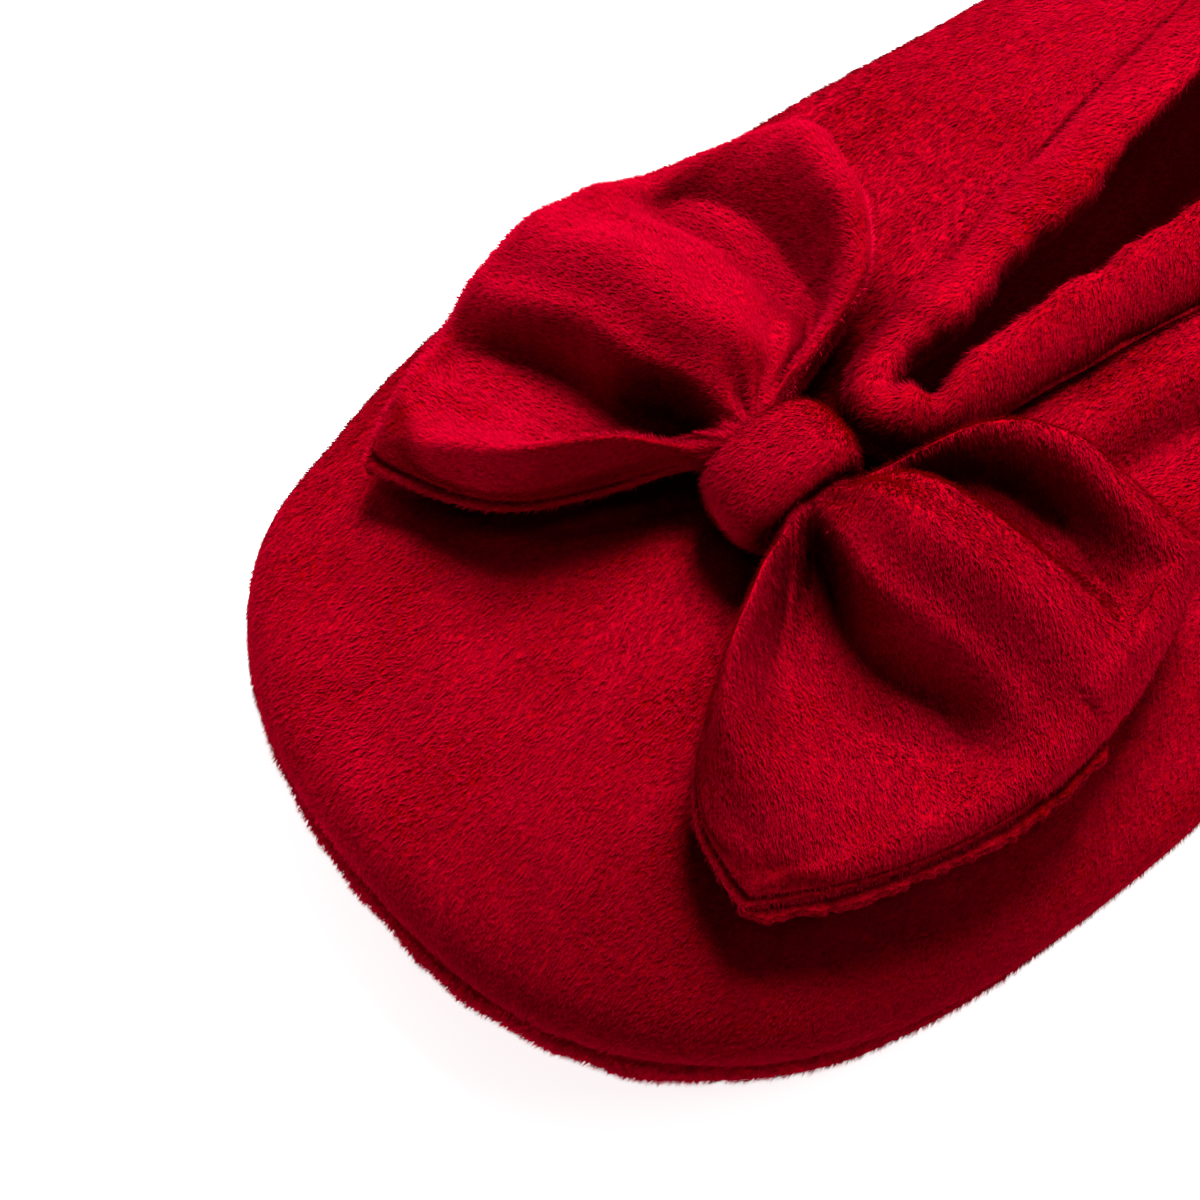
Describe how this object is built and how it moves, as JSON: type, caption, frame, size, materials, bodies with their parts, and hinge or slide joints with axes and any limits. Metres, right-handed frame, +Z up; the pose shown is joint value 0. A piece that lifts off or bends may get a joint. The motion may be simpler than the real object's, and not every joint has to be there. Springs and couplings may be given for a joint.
{
  "type": "ballerina slipper",
  "caption": "Soft plush ballerina slipper with a blunt round toe, a narrow gathered collar and a large pinched bow held by a wrapped knot on the vamp.",
  "frame": {"origin": "centre of the object's bounding box at floor level", "axes": "+Z up, -Y to the toe, +Y to the heel, +X to the side nearer the camera"},
  "size_m": [0.0984, 0.25, 0.0574],
  "materials": {
    "velour": "short pile, matt with a soft sheen",
    "lining": "matt knit",
    "grip": "matt"
  },
  "bodies": {
    "root": {"outsole": "grip", "sole_wrap": "velour", "insole": "lining", "upper": "velour", "collar_casing": "velour", "bow_wings": "velour", "bow_knot": "velour"}
  },
  "joints": []
}
